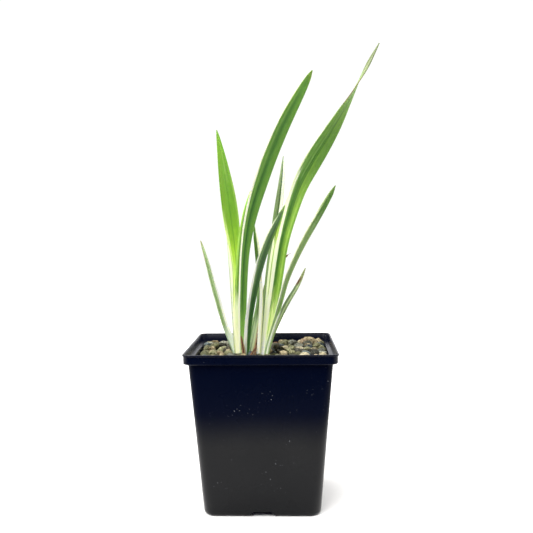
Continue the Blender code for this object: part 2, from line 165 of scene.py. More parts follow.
mm = 0.001
base_width, base_corner = 69.3 * mm, 7.5 * mm
body_width, body_corner = 83.6 * mm, 4.5 * mm
band_width, lip_width, rim_corner = 88.8 * mm, 89.9 * mm, 5 * mm
band_foot, lip_foot, pot_height = 91 * mm, 95.8 * mm, 96.9 * mm
wall = 1.1 * mm
foot_radius = 2 * mm
ledge_height = 92.2 * mm
floor_underside, floor_top = 2.8 * mm, 4 * mm
skirt = 2 * mm
foot_pad = 16 * mm
level = {}


def begin_level(height, width, corner):
    """Notes the size of the level that the next one is drawn from."""
    level.update(height=height, width=width, corner=corner)


def draw_to(height, width, corner):
    """Draws the chosen face out to a new level, and gives it that level's width and corner radius."""
    bpy.ops.mesh.extrude_region_move(TRANSFORM_OT_translate={"value": (0, 0, height - level["height"])})
    shape = bmesh.from_edit_mesh(bpy.context.object.data)
    old_middle = level["width"] / 2 - level["corner"]
    for vert in shape.verts:
        if vert.select:
            for axis in (0, 1):
                way = math.copysign(1, vert.co[axis])
                spread = (vert.co[axis] - way * old_middle) * corner / level["corner"]
                vert.co[axis] = way * (width / 2 - corner) + spread
    bmesh.update_edit_mesh(bpy.context.object.data)
    begin_level(height, width, corner)


def side_at(height):
    """The body's width and corner at a height, by its even taper."""
    share = height / band_foot
    return base_width + (body_width - base_width) * share, base_corner + (body_corner - base_corner) * share


start("plane", size=base_width - 2 * foot_radius)
bpy.ops.mesh.bevel(offset=base_corner - foot_radius, segments=10, affect="VERTICES")
begin_level(0, base_width - 2 * foot_radius, base_corner - foot_radius)
for turned in (22.5, 45, 67.5, 90):
    rise = foot_radius * (1 - math.cos(math.radians(turned)))
    inset = foot_radius * (1 - math.sin(math.radians(turned)))
    draw_to(rise, side_at(rise)[0] - 2 * inset, side_at(rise)[1] - inset)
for share in (0.15, 0.3, 0.45, 0.6, 0.75, 0.9, 1):
    rise = foot_radius + (band_foot - foot_radius) * share
    draw_to(rise, *side_at(rise))
for rise, width, corner in (
    (band_foot + 0.05 * mm, band_width - 0.9 * mm, rim_corner),
    (band_foot + 0.5 * mm, band_width, rim_corner),
    (lip_foot - 0.2 * mm, band_width + 0.1 * mm, rim_corner),
    (lip_foot, lip_width - 0.25 * mm, rim_corner),
    (lip_foot + 0.3 * mm, lip_width, rim_corner),
    (pot_height - 0.3 * mm, lip_width, rim_corner),
    (pot_height, lip_width - 0.5 * mm, rim_corner - 0.2 * mm),
    (pot_height, lip_width - 1.5 * mm, rim_corner - 0.6 * mm),
    (pot_height - 0.35 * mm, lip_width - 2.1 * mm, rim_corner - 0.9 * mm),
    (ledge_height + 0.15 * mm, band_width - 2 * wall - 0.3 * mm, rim_corner - wall),
    (ledge_height, body_width - 2 * wall, body_corner - wall),
):
    draw_to(rise, width, corner)
draw_to(floor_top, side_at(floor_top)[0] - 2 * wall, side_at(floor_top)[1] - wall)


def choose_lowest_face():
    """Selects only the face of the edited piece that lies lowest."""
    shape = bmesh.from_edit_mesh(bpy.context.object.data)
    for face in shape.faces:
        face.select = False
    min(shape.faces, key=lambda face: face.calc_center_median().z).select = True
    shape.select_flush_mode()
    bmesh.update_edit_mesh(bpy.context.object.data)


choose_lowest_face()
begin_level(0, base_width - 2 * foot_radius, base_corner - foot_radius)
draw_to(0, base_width - 2 * foot_radius - 2 * skirt, base_corner - foot_radius - 1 * mm)
draw_to(floor_underside, base_width - 2 * foot_radius - 2 * skirt - 0.3 * mm, base_corner - foot_radius - 1 * mm)
draw_to(floor_underside, foot_pad, base_corner - foot_radius - 1 * mm)
draw_to(0, foot_pad - 0.4 * mm, base_corner - foot_radius - 1 * mm)
nursery_pot = done("nursery_pot")

cutters = []
for quarter in range(4):
    turn = Matrix.Rotation(math.pi / 2 * quarter, 4, "Z")
    start("cube", size=1)
    bpy.ops.transform.resize(value=(21.5 * mm, 12 * mm, 5.6 * mm))
    shape = bmesh.from_edit_mesh(bpy.context.object.data)
    for vert in shape.verts:
        if vert.co.z > 0:
            vert.co.x *= 0.48
    bmesh.update_edit_mesh(bpy.context.object.data)
    bpy.ops.mesh.select_all(action="SELECT")
    bpy.ops.transform.translate(value=(0, -34 * mm, 0))
    notch = done(f"notch_{quarter}")
    notch.data.transform(turn)
    cutters.append(notch)
    start("cylinder", vertices=32, radius=3.6 * mm, depth=4 * mm, location=turn @ Vector((21 * mm, 0, 3.4 * mm)))
    cutters.append(done(f"drain_{quarter}"))
for cutter in cutters:
    work(nursery_pot, "BOOLEAN", object=cutter, operation="DIFFERENCE", solver="EXACT")
for cutter in cutters:
    bpy.data.objects.remove(cutter)
bpy.ops.object.shade_smooth_by_angle(angle=math.radians(35))


def material_of(name):
    """A new material that has only its Principled shader."""
    made = bpy.data.materials.new(name)
    made.use_nodes = True
    return made


def node(material, kind, options=None, **sockets):
    """Adds a node with its options, and sets or joins its sockets."""
    made = material.node_tree.nodes.new("ShaderNode" + kind)
    for key, value in (options or {}).items():
        setattr(made, key, value)
    return fill(material, made, sockets)


def blend(material, share, under, over, kind="MIX"):
    """Lays one colour over another by a share from 0 to 1, and returns the colour."""
    made = node(material, "Mix", {"data_type": "RGBA", "blend_type": kind}, _0=share, _6=under, _7=over)
    return made.outputs[2]


def ease(material, value, low, high, to_low=0.0, to_high=1.0):
    """Turns a range of values into another, eased at both ends."""
    made = node(
        material, "MapRange", {"interpolation_type": "SMOOTHSTEP"}, Value=value, From_Min=low, From_Max=high,
        To_Min=to_low, To_Max=to_high,
    )
    return made.outputs[0]


def surface(material, **sockets):
    """Sets or joins the sockets of the material's Principled shader."""
    fill(material, material.node_tree.nodes["Principled BSDF"], sockets)


def colour(code):
    """A colour written as on a paint card, RRGGBB, as the shader's linear values."""
    parts = [int(code[start:start + 2], 16) / 255 for start in (0, 2, 4)]
    return (*(part / 12.92 if part <= 0.04045 else ((part + 0.055) / 1.055) ** 2.4 for part in parts), 1)


black_plastic = material_of("black_plastic")
spot = node(black_plastic, "TexCoord").outputs["Object"]
height = node(black_plastic, "SeparateXYZ", _0=spot).outputs[2]
cloud = node(black_plastic, "TexNoise", Vector=spot, Scale=45, Detail=3)
grain = node(black_plastic, "TexNoise", Vector=spot, Scale=1800, Detail=2)
dust = node(black_plastic, "TexNoise", Vector=spot, Scale=900, Detail=1)
dust_patch = node(black_plastic, "TexNoise", Vector=spot, Scale=60, Detail=1)
specks = node(
    black_plastic, "Math", {"operation": "MULTIPLY"}, _0=ease(black_plastic, dust.outputs[0], 0.72, 0.78),
    _1=ease(black_plastic, dust_patch.outputs[0], 0.5, 0.7),
)
pitted = node(black_plastic, "Bump", Strength=0.15, Distance=0.0001, Height=grain.outputs[0])
# Painted reflection: the wall goes from near black below to deep blue-black above, and its specular is raised low
# down, where it stands for the floor's reflection, and on its band as a painted sheen.
reflection_top, reflection_foot = 0.064, 0.04
tone = blend(black_plastic, ease(black_plastic, height, reflection_foot, 0.066), colour("030407"), colour("020618"))
painted_reflection = node(
    black_plastic, "Math", {"operation": "ADD"}, _0=ease(black_plastic, height, reflection_foot, reflection_top, 0.2, 0.03),
    _1=ease(black_plastic, height, 0.0905, 0.0912, 0, 0.09),
)
surface(
    black_plastic,
    Base_Color=blend(black_plastic, specks.outputs[0], tone, colour("6c6f72")),
    Roughness=ease(black_plastic, cloud.outputs[0], 0.3, 0.7, 0.24, 0.33),
    Normal=pitted.outputs[0],
    # Painted reflection: the specular is raised low on the wall and on the band, by height.
    Specular_IOR_Level=painted_reflection.outputs[0],
)
nursery_pot.data.materials.append(black_plastic)
stands_for(nursery_pot, "black_plastic", "pot")

# The potting mix: damp composted bark and peat that fills the pot under the grit. It shows only as
# the dark between the stones.
potting_mix = material_of("potting_mix")
spot = node(potting_mix, "TexCoord").outputs["Object"]
crumb = node(potting_mix, "TexVoronoi", Vector=spot, Scale=330)
crumb_shade = node(potting_mix, "TexNoise", Vector=spot, Scale=210, Detail=5)
rough = node(potting_mix, "Bump", Strength=0.9, Distance=0.0008, Height=crumb.outputs["Distance"])
surface(
    potting_mix,
    Base_Color=blend(
        potting_mix, ease(potting_mix, crumb_shade.outputs[0], 0.35, 0.7), colour("15100c"), colour("4a3524")
    ),
    Roughness=0.95,
    Normal=rough.outputs[0],
)


def refinish(node_name, material):
    """Gives a CAD solid that stays as it is its finished material."""
    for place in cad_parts[node_name].material_slots:
        place.material = material


refinish("potting_mix", potting_mix)

# The rhizome: the creeping rootstock that the fans grow from, just under the grit. Its tan skin is
# ringed by the scars of old leaves.
rhizome_skin = material_of("rhizome_skin")
spot = node(rhizome_skin, "TexCoord").outputs["Object"]
scars = node(
    rhizome_skin, "TexWave", {"bands_direction": "X", "wave_profile": "SAW"}, Vector=spot, Scale=95, Distortion=3,
    Detail=2, Detail_Scale=40,
)
blotch = node(rhizome_skin, "TexNoise", Vector=spot, Scale=320, Detail=4)
skin = blend(rhizome_skin, scars.outputs["Fac"], colour("8a6238"), colour("c79d64"))
ringed = node(rhizome_skin, "Bump", Strength=0.7, Distance=0.0005, Height=scars.outputs["Fac"])
surface(
    rhizome_skin,
    Base_Color=blend(rhizome_skin, ease(rhizome_skin, blotch.outputs[0], 0.5, 0.75), skin, colour("4f3420")),
    Roughness=0.85,
    Normal=ringed.outputs[0],
)
refinish("rhizome", rhizome_skin)

# The left fan: five sword-shaped leaves of a variegated iris, folded flat and grown edge to edge from
# one crown. Each blade is smooth and faintly ribbed lengthwise, with cream where it has no green.
tip_width = 0.6 * mm
leaf_foot = 80.8
curve_points = 401
column_width, row_length = 0.32, 1.5


def drawn_through(pairs, share):
    """Reads a value off a smooth line through a list of (share, value) pairs."""
    marks, values = (np.array(row, float) for row in zip(*pairs))
    slopes = np.gradient(values, marks)
    part = np.clip(share, marks[0], marks[-1])
    at = min(max(int(np.searchsorted(marks, part)) - 1, 0), len(pairs) - 2)
    gap = marks[at + 1] - marks[at]
    step = (part - marks[at]) / gap
    return float(
        (1 + 2 * step) * (1 - step) ** 2 * values[at] + step * (1 - step) ** 2 * gap * slopes[at]
        + step * step * (3 - 2 * step) * values[at + 1] - step * step * (1 - step) * gap * slopes[at + 1]
    )


def width_at(outline, share):
    """The blade's width: smooth along its outline, then straight from the last mark to the tip."""
    last, width = outline[-1]
    if share <= last:
        return drawn_through(outline, share) * mm
    return width * mm + (tip_width - width * mm) * (share - last) / (1 - last)


def blade(
    name, slot, foot, rise, bend, tip, outline, turn, sway=((0, 0), (1, 0)), thickness=0.95, edge=0.4, ripple=0.1
):
    """A leaf along a curve of four points in mm. Along its length go its width, its turn in degrees, and
    its sway, which is how far it strays to the right of the curve."""
    broadest = max(width for _, width in outline)
    foot = foot if len(foot) == 3 else (*foot, leaf_foot)
    knots = [Vector(point) * mm for point in (foot, rise, bend, tip)]
    t = np.linspace(0, 1, curve_points)[:, None]
    curve = (
        (1 - t) ** 3 * np.array(knots[0]) + 3 * t * (1 - t) ** 2 * np.array(knots[1])
        + 3 * t * t * (1 - t) * np.array(knots[2]) + t ** 3 * np.array(knots[3])
    )
    steps = np.linalg.norm(np.diff(curve, axis=0), axis=1)
    reach = np.concatenate(([0], np.cumsum(steps)))
    columns = max(10, min(40, round(broadest / column_width)))
    rows = max(16, min(130, round(reach[-1] / mm / row_length)))
    draw = random.Random(name)
    rib = [(draw.uniform(2.2, 8.5), draw.uniform(0, 6.3)) for _ in range(4)]
    wave = [(draw.uniform(3, 9), draw.uniform(0, 6.3)) for _ in range(3)]
    start("grid", x_subdivisions=columns, y_subdivisions=rows, size=1)
    bpy.ops.object.mode_set(mode="OBJECT")
    piece = bpy.context.object
    heart = piece.vertex_groups.new(name="heart")
    row_shapes = {}
    for vert in piece.data.vertices:
        across = vert.co.x * 2
        part = vert.co.y + 0.5
        key = round(part, 5)
        if key not in row_shapes:
            share = part + 0.09 * math.sin(math.pi * part) * part
            behind, place, ahead = (
                Vector([np.interp(share * reach[-1] + off, reach, curve[:, axis]) for axis in range(3)])
                for off in (-0.5 * mm, 0, 0.5 * mm)
            )
            along = (ahead - behind).normalized() if part > 0 else Vector((0, 0, 1))
            flat = along.cross(Vector((0, -1, 0))).normalized()
            side = flat.copy()
            side.rotate(Matrix.Rotation(math.radians(drawn_through(turn, share)), 3, along))
            place += flat * drawn_through(sway, share) * mm
            row_shapes[key] = (share, place, side, side.cross(along), width_at(outline, share))
        share, place, side, out, width = row_shapes[key]
        size = min(1, width / (6 * mm))
        fold = 0.45 * mm * size * min(1, share / 0.2) * (1 - across * across)
        ribs = sum(math.sin(count * across * 2 + phase) for count, phase in rib) * 0.018 * mm * size
        flutter = sum(math.sin(count * share * 6.28 + phase + across) for count, phase in wave)
        flutter *= ripple * mm * across * abs(across) * size * min(1, share / 0.15) / 3
        vert.co = place + side * across * width / 2 - out * (fold + ribs + flutter)
        lens = 1 - (1 - edge) * abs(across) ** 2.2
        heart.add([vert.index], lens * (0.35 + 0.65 * min(1, (1 - share) / 0.06)), "REPLACE")
    piece = done(name + "_blade")
    work(piece, "SOLIDIFY", thickness=thickness * mm, offset=0, vertex_group="heart")
    bpy.ops.object.shade_smooth_by_angle(angle=math.radians(50))
    piece["length"] = float(reach[-1])
    piece["broadest"] = broadest * mm
    stands_for(piece, slot, *([name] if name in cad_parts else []))
    return piece


stripe_shape = bpy.data.node_groups.new("lengthwise_stripe", "ShaderNodeTree")
for socket in ("Across", "Along", "Left Foot", "Left Tip", "Right Foot", "Right Tip", "Start", "End", "Soft", "Fade"):
    stripe_shape.interface.new_socket(socket, in_out="INPUT", socket_type="NodeSocketFloat")
stripe_shape.interface.new_socket("Mask", in_out="OUTPUT", socket_type="NodeSocketFloat")
inlet = stripe_shape.nodes.new("NodeGroupInput").outputs
outlet = stripe_shape.nodes.new("NodeGroupOutput").inputs


def stripe_sum(operation, first, second):
    """One sum inside the stripe's group of nodes."""
    made = stripe_shape.nodes.new("ShaderNodeMath")
    made.operation = operation
    for socket, value in zip(made.inputs, (first, second)):
        if isinstance(value, bpy.types.NodeSocket):
            stripe_shape.links.new(value, socket)
        else:
            socket.default_value = value
    return made.outputs[0]


def stripe_edge(distance, softness):
    """Rises from 0 to 1 as the distance crosses zero, over the softness on both sides."""
    made = stripe_shape.nodes.new("ShaderNodeMapRange")
    made.interpolation_type = "SMOOTHSTEP"
    stripe_shape.links.new(distance, made.inputs["Value"])
    stripe_shape.links.new(stripe_sum("MULTIPLY", softness, -1), made.inputs["From Min"])
    stripe_shape.links.new(softness, made.inputs["From Max"])
    return made.outputs[0]


def stripe_line(foot, tip):
    """Where an edge of the stripe lies across the leaf, at this place along it."""
    drift = stripe_sum("MULTIPLY", stripe_sum("SUBTRACT", tip, foot), inlet["Along"])
    return stripe_sum("ADD", foot, drift)


mask = stripe_edge(
    stripe_sum("SUBTRACT", inlet["Across"], stripe_line(inlet["Left Foot"], inlet["Left Tip"])), inlet["Soft"]
)
for other in (
    stripe_edge(
        stripe_sum("SUBTRACT", stripe_line(inlet["Right Foot"], inlet["Right Tip"]), inlet["Across"]), inlet["Soft"]
    ),
    stripe_edge(stripe_sum("SUBTRACT", inlet["Along"], inlet["Start"]), inlet["Fade"]),
    stripe_edge(stripe_sum("SUBTRACT", inlet["End"], inlet["Along"]), inlet["Fade"]),
):
    mask = stripe_sum("MULTIPLY", mask, other)
stripe_shape.links.new(mask, outlet["Mask"])


def leaf_skin(piece, ground, stripes, roughness=0.42, veins=0.3, glow=0.3):
    """Paints a leaf. A stripe is (colour, left, right, start, end, soft, fade): left and right are places
    across the leaf, from 0 to 1, or pairs of them at foot and tip, and start and end are places along it."""
    skin = material_of(piece.name + "_skin")
    across_mm, along_mm = piece["broadest"] * 1000, piece["length"] * 1000
    uv = node(skin, "UVMap", {"uv_map": piece.data.uv_layers[0].name})
    place = node(skin, "SeparateXYZ", _0=uv.outputs[0])
    stretched = node(
        skin, "Mapping", Vector=uv.outputs[0], Scale=(across_mm, along_mm / 26, 1), Location=(across_mm * 0.997, 3, 0)
    )
    waver = node(skin, "TexNoise", {"noise_dimensions": "2D"}, Vector=stretched.outputs[0], Scale=0.5, Detail=3)
    fine = node(skin, "TexNoise", {"noise_dimensions": "2D"}, Vector=stretched.outputs[0], Scale=2.4, Detail=3)
    shift = node(skin, "MapRange", Value=waver.outputs[0], To_Min=-0.06, To_Max=0.06)
    across = node(skin, "Math", {"operation": "ADD"}, _0=place.outputs[0], _1=shift.outputs[0]).outputs[0]
    long_shift = node(skin, "MapRange", Value=fine.outputs[0], To_Min=-0.09, To_Max=0.09)
    along = node(skin, "Math", {"operation": "ADD"}, _0=place.outputs[1], _1=long_shift.outputs[0]).outputs[0]
    paint = colour(ground)
    for code, left, right, begin, end, soft, fade in stripes:
        left, right = (pair if isinstance(pair, tuple) else (pair, pair) for pair in (left, right))
        band = node(
            skin, "Group", {"node_tree": stripe_shape}, Across=across, Along=along, Left_Foot=left[0],
            Left_Tip=left[1], Right_Foot=right[0], Right_Tip=right[1], Start=begin, End=end, Soft=soft, Fade=fade,
        )
        paint = blend(skin, band.outputs[0], paint, colour(code))
    vein = node(skin, "TexNoise", {"noise_dimensions": "2D"}, Vector=stretched.outputs[0], Scale=5.2, Detail=2)
    line = ease(skin, vein.outputs[0], 0.35, 0.65)
    broad_line = ease(skin, fine.outputs[0], 0.38, 0.62)
    smooth_tip = ease(skin, place.outputs[1], 0.74, 0.9, 1, 0.05)
    pale = ease(skin, node(skin, "SeparateColor", _0=paint).outputs["Blue"], 0.15, 0.6, 1, 0.35)
    clear = node(skin, "Math", {"operation": "MULTIPLY"}, _0=smooth_tip, _1=pale).outputs[0]
    for value, depth, code in ((line, veins, "9aa86a"), (broad_line, veins * 0.8, "a8b478")):
        share = node(skin, "MapRange", Value=value, To_Min=depth, To_Max=0).outputs[0]
        share = node(skin, "Math", {"operation": "MULTIPLY"}, _0=share, _1=clear).outputs[0]
        paint = blend(skin, share, paint, colour(code), "MULTIPLY")
    height = node(skin, "Math", {"operation": "MULTIPLY"}, _0=line, _1=smooth_tip).outputs[0]
    ridge = node(skin, "Bump", Strength=0.35, Distance=0.00012, Height=height)
    surface(
        skin, Base_Color=paint, Roughness=roughness, Normal=ridge.outputs[0], Specular_IOR_Level=0.4,
        Subsurface_Weight=glow, Subsurface_Radius=(1.0, 1.0, 0.5), Subsurface_Scale=0.0008,
    )
    piece.data.materials.append(skin)


leaf_skin(
    blade(
        "left_fan_tall_leaf", "mid_green_leaf", (-13.3, 0.6), (-11.5, -0.3, 152.6), (-12.1, -5.5, 192.9),
        (31.6, -14.0, 263.1),
        (
            (0, 3.4), (0.2, 5.0), (0.39, 5.9), (0.5, 7.6), (0.6, 9.1), (0.7, 9.2), (0.8, 8.6), (0.88, 7.3),
            (0.95, 5.0), (0.98, 3.2),
        ),
        ((0, 0), (0.3, 12), (0.7, 18), (1, 28)),
        (
            (0, 0), (0.15, -0.2), (0.29, -0.5), (0.39, -0.9), (0.48, -0.75), (0.55, -0.3), (0.63, 0.2), (0.72, 0.4),
            (0.82, 0.45), (0.92, 0.6), (0.97, 0.5), (1, 0.2),
        ),
    ),
    "699e3e",
    (
        ("6e9f3d", 0.72, 1.3, 0.1, 1.1, 0.1, 0.1),
        ("71a33c", -0.3, 0.25, 0.5, 1.1, 0.1, 0.1),
        ("4c8030", 0.36, 0.62, 0.16, 0.88, 0.10, 0.1),
        ("386c28", (0.36, 0.44), (0.47, 0.53), 0.18, 0.58, 0.04, 0.08),
        # Painted highlight: a lighter sheen stripe on the left of the upper blade.
        ("7ca74e", 0.22, 0.32, 0.38, 0.92, 0.05, 0.08),
        ("8fbf57", 0.2, 1.3, -0.1, 0.15, 0.1, 0.06),
        ("e9efc4", -0.3, 1.3, -0.3, 0.06, 0.1, 0.03),
        ("d4e0a3", -0.3, 0.05, 0.5, 0.95, 0.03, 0.05),
        ("fdfde2", -0.3, (0.24, -0.02), -0.3, 0.78, 0.03, 0.08),
        ("8aa53d", -0.3, 1.3, 0.975, 1.2, 0.1, 0.02),
    ),
)
leaf_skin(
    blade(
        "left_fan_narrow_leaf", "mid_green_leaf", (-14.8, 2.1), (-14.8, 2.6, 120.3), (-17.2, 5.0, 157.7),
        (-5.0, 9.0, 197.3), ((0, 3.2), (0.3, 3.4), (0.6, 3.4), (0.85, 2.9), (0.95, 1.7)),
        ((0, 0), (0.4, 30), (1, 40)),
        ((0, -0.6), (0.25, -0.9), (0.6, -1.0), (0.84, -0.95), (0.92, -0.6), (1, 0)),
    ),
    "7dac33",
    (
        ("fefed7", -0.3, 1.3, -0.3, 0.26, 0.1, 0.08),
        ("f7fdd0", -0.3, 1.3, 0.22, 0.36, 0.1, 0.05),
        ("95b44e", 0.35, 1.3, 0.66, 1.1, 0.1, 0.08),
        ("b4e261", -0.3, 0.3, 0.4, 1.0, 0.08, 0.08),
    ),
)
leaf_skin(
    blade(
        "left_fan_broad_leaf", "bright_green_leaf", (-15.0, 3.6), (-17.4, 4.3, 134.3), (-16.3, 9.8, 172.5),
        (-28.9, 18.0, 233.4),
        (
            (0, 4.6), (0.15, 4.6), (0.28, 4.2), (0.36, 4.3), (0.42, 5.0), (0.5, 7.4), (0.6, 9.9), (0.7, 9.8),
            (0.8, 7.9), (0.9, 4.8), (0.97, 2.2),
        ),
        ((0, 0), (0.4, 4), (1, 12)),
        (
            (0, -0.3), (0.2, -0.2), (0.33, 0.2), (0.42, 0.8), (0.5, 0.65), (0.6, 0.1), (0.68, -0.15), (0.8, -0.5),
            (1, -0.35),
        ),
    ),
    "6ea50f",
    (
        ("7bab22", -0.3, 0.32, 0.45, 1.1, 0.12, 0.1),
        ("7bb028", 0.34, 0.42, 0.55, 1.05, 0.05, 0.1),
        ("83b239", 0.55, 0.68, 0.72, 1.05, 0.06, 0.08),
        ("8abb21", -0.3, 1.3, 0.3, 0.55, 0.1, 0.08),
        ("c1e746", -0.3, 1.3, 0.2, 0.46, 0.15, 0.06),
        ("5b950e", 0.475, 0.535, 0.34, 0.74, 0.03, 0.08),
        ("98bd49", 0.9, 1.3, 0.3, 0.78, 0.05, 0.08),
        ("f2ff9c", -0.3, 1.3, 0.14, 0.37, 0.15, 0.05),
        ("e2f495", -0.3, 0.14, 0.3, 0.56, 0.06, 0.06),
        ("fafad9", -0.3, 1.3, -0.3, 0.245, 0.15, 0.05),
        ("afc96d", -0.3, 0.06, 0.24, 0.42, 0.03, 0.06),
        ("dde6aa", -0.3, 0.2, -0.3, 0.12, 0.08, 0.05),
        ("c2cf7c", -0.3, 0.05, -0.3, 0.12, 0.03, 0.05),
    ),
    glow=0.45,
)
leaf_skin(
    blade(
        "left_fan_pale_leaf", "cream_leaf", (-14.8, 5.1), (-17.2, 5.6, 108.6), (-17.8, 8.6, 136.3),
        (-23.0, 14.0, 164.6), ((0, 4.2), (0.3, 4.8), (0.6, 4.6), (0.8, 3.4), (0.93, 2.0)),
        ((0, 0), (0.6, 20), (1, 30)), ((0, -0.8), (0.3, -0.4), (0.6, 0), (0.8, 0), (1, 0)),
    ),
    "eef0e3",
    (
        ("c4ccb3", -0.3, 0.1, -0.3, 1.1, 0.05, 0.1),
        ("e9edd3", 0.45, 0.6, 0.1, 0.8, 0.06, 0.1),
        ("c0c7a4", -0.3, 1.3, 0.9, 1.2, 0.1, 0.04),
    ),
    veins=0.08,
)
leaf_skin(
    blade(
        "left_fan_short_leaf", "grey_green_leaf", (-16.0, 6.7), (-23.4, 6.4, 107.6), (-31.2, 4.0, 134.7),
        (-38.4, 0.0, 161.7), ((0, 3.6), (0.12, 4.1), (0.3, 4.0), (0.45, 3.7), (0.65, 3.6), (0.85, 2.7), (0.95, 1.6)),
        ((0, 0), (0.3, 16), (1, 32)),
        ((0, 0.8), (0.12, 1.0), (0.22, 0.3), (0.35, -0.5), (0.55, -0.35), (0.7, -0.1), (0.85, 0.3), (1, 0)),
    ),
    "b4cb93",
    (
        ("98b974", 0.14, 0.34, 0.1, 0.9, 0.08, 0.1),
        ("c2dc9a", 0.4, 0.6, 0.4, 1.1, 0.08, 0.1),
        ("fefff5", (0.5, 0.86), 1.3, -0.2, 0.9, 0.06, 0.08),
        ("e6f0df", -0.3, 1.3, -0.4, 0.26, 0.1, 0.08),
        ("a8bf9d", -0.3, 0.16, 0.05, 0.3, 0.06, 0.08),
        ("a8a977", -0.3, 1.3, 0.95, 1.2, 0.1, 0.03),
        ("a9a672", -0.3, 0.05, 0.75, 0.95, 0.04, 0.05),
    ),
)

# The middle fan: two leaves beside the left fan, the dark one leaning to the right across the other,
# whose broad base shows pale and striped between the fans.
leaf_skin(
    blade(
        "middle_fan_leaning_leaf", "dark_green_leaf", (-10.7, -0.6), (-9.8, -1.5, 121.1), (-2.8, -7.1, 148.3),
        (14.6, -16.0, 182.7), ((0, 3.2), (0.2, 4.3), (0.4, 5.2), (0.7, 5.7), (0.85, 4.9), (0.93, 3.4)),
        ((0, 0), (0.3, 20), (1, 38)),
        ((0, 0), (0.5, 0), (0.65, -0.3), (0.8, -0.15), (0.92, 0.2), (1, 0.2)),
    ),
    "527f3e",
    (
        # Painted highlight: a lighter sheen band just left of the middle.
        ("86ab68", 0.2, 0.36, 0.25, 0.75, 0.07, 0.12),
        ("376829", 0.5, 0.86, 0.0, 0.9, 0.1, 0.1),
        ("739a56", -0.3, 0.12, 0.34, 0.7, 0.05, 0.1),
        ("5d901b", 0.74, 1.3, 0.72, 1.1, 0.08, 0.06),
        ("ecf5cb", -0.3, 0.1, 0.62, 0.9, 0.05, 0.06),
        ("fefef2", -0.3, (0.6, -0.2), -0.3, 0.6, 0.05, 0.08),
        ("bec9aa", -0.3, 0.55, -0.3, 0.14, 0.08, 0.06),
        ("9bba50", -0.3, 1.3, 0.965, 1.2, 0.1, 0.02),
    ),
)
leaf_skin(
    blade(
        "middle_fan_upright_leaf", "dark_green_leaf", (-10.4, 2.4), (-1.1, 3.0, 114.6), (-0.6, 6.4, 138.2),
        (-4.9, 12.0, 171.7), ((0, 3.6), (0.12, 4.8), (0.3, 4.6), (0.5, 3.9), (0.8, 4.1), (0.9, 3.3)),
        ((0, 0), (0.25, 12), (0.5, 52), (0.8, 38), (1, 30)),
        ((0, -0.4), (0.2, -0.4), (0.38, 0.1), (0.44, 0.4), (0.58, 0.1), (0.8, 0), (0.94, -0.3), (1, -0.3)),
    ),
    "47760e",
    (
        ("577c29", 0.3, 0.5, 0.3, 0.95, 0.08, 0.1),
        ("9abf7a", -0.3, 0.4, 0.25, 0.6, 0.1, 0.1),
        ("f9fcdf", (0.56, 0.6), 1.3, 0.36, 0.99, 0.06, 0.06),
        ("e5fac8", -0.3, 1.3, -0.4, 0.32, 0.1, 0.06),
        ("a5cb93", 0.08, 0.2, -0.3, 0.36, 0.04, 0.08),
        ("eaf8d7", 0.3, 0.44, -0.3, 0.3, 0.05, 0.08),
        ("b3cca2", 0.5, 0.58, -0.3, 0.3, 0.04, 0.08),
        ("eeefcf", 0.62, 0.74, -0.3, 0.28, 0.05, 0.08),
        ("ceb68f", 0.84, 1.3, 0.0, 0.32, 0.06, 0.06),
    ),
)

# The right fan: seven leaves from the second crown. The tallest turns over near its tip, and two of
# the smallest are old, one cream and one dried brown.
tall_blade = blade(
    "right_fan_tall_leaf", "mid_green_leaf", (-0.1, 1.0), (19.7, 2.3, 214.7), (25.0, 9.8, 191.1), (76.6, 22.0, 288.4),
    (
        (0, 4.4), (0.1, 5.6), (0.2, 7.0), (0.4, 8.0), (0.5, 9.8), (0.6, 11.8), (0.7, 10.8), (0.8, 8.0), (0.87, 5.3),
        (0.94, 2.9),
    ),
    ((0, 0), (0.4, 8), (0.6, 15), (0.7, 30), (0.8, 60), (0.87, 90), (0.94, 145), (1, 165)),
    (
        (0, 0), (0.26, 0.1), (0.36, -0.7), (0.44, -0.5), (0.52, -0.75), (0.6, 0), (0.66, 0.6), (0.75, 0.85),
        (0.83, 0.75), (0.9, 0.2), (0.95, 0), (1, 0),
    ),
)
leaf_skin(
    tall_blade,
    "689b2c",
    (
        ("77a728", -0.3, 1.3, 0.66, 0.86, 0.1, 0.06),
        # Painted highlight: a lighter sheen stripe on the left part of the blade.
        ("75a346", 0.08, 0.3, 0.36, 0.64, 0.07, 0.08),
        ("88b53d", (0.5, 0.66), 1.3, 0.12, 0.58, 0.05, 0.08),
        ("abd658", 0.7, 0.84, 0.12, 0.46, 0.05, 0.08),
        ("689734", 0.62, 1.3, 0.5, 0.68, 0.06, 0.06),
        # Painted shade: the dark stripe down the middle stands for the shadow of the central fold.
        ("447820", (0.26, 0.34), (0.44, 0.48), 0.18, 0.7, 0.05, 0.08),
        ("3e7020", 0.5, 0.56, 0.38, 0.84, 0.03, 0.08),
        ("7aa54a", 0.34, 0.4, 0.5, 0.82, 0.03, 0.06),
        ("f0ffab", 0.2, 1.3, 0.02, 0.17, 0.1, 0.04),
        ("b5db61", 0.42, 0.5, 0.04, 0.2, 0.04, 0.04),
        ("fcfedf", -0.3, (0.3, 0.02), -0.3, 0.5, 0.035, 0.05),
        ("e3ecbf", -0.3, 0.05, 0.46, 0.68, 0.03, 0.05),
        ("f9fadc", 0.84, 1.3, -0.3, 0.15, 0.05, 0.03),
        ("fffff9", -0.3, 1.3, -0.4, 0.075, 0.1, 0.03),
        ("867341", -0.3, 0.1, 0.74, 0.86, 0.05, 0.04),
        ("68783b", -0.3, 1.3, 0.855, 1.2, 0.1, 0.02),
        ("949e6f", 0.2, 0.45, 0.86, 0.96, 0.08, 0.03),
    ),
)
